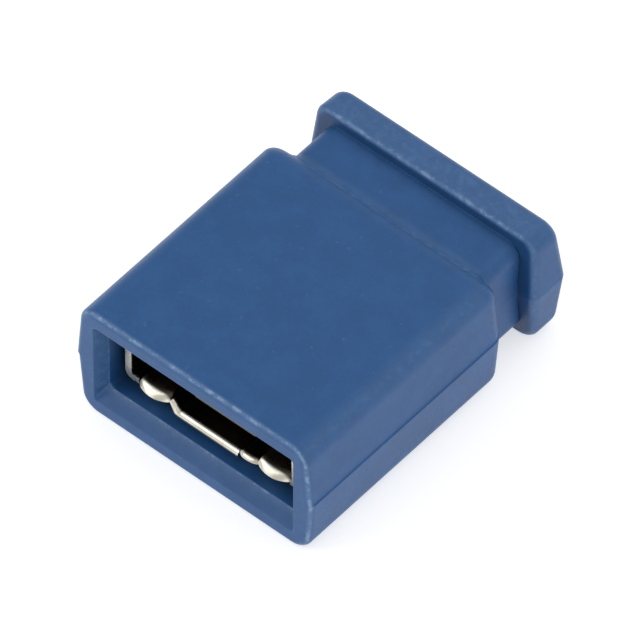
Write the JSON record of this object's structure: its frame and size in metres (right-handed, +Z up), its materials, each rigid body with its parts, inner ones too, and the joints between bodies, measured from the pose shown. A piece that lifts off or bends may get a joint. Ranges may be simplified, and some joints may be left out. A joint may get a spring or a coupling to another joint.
{
  "type": "jumper shunt",
  "caption": "Two-way jumper shunt: a moulded housing, open at one end, holds a folded sheet-metal contact and carries a finger grip bar.",
  "frame": {"origin": "middle of the shunt's footprint, on the surface that it lies on", "axes": "+Y from the mouth to the finger grip, +Z up out of the broad face that it lies on, +X across the two pins"},
  "size_m": [0.005, 0.0062, 0.0024],
  "materials": {
    "housing": "fine matte, moulded",
    "contact": "pale plating on sheet metal"
  },
  "bodies": {
    "root": {"housing": "housing", "contact": "contact"}
  },
  "joints": []
}
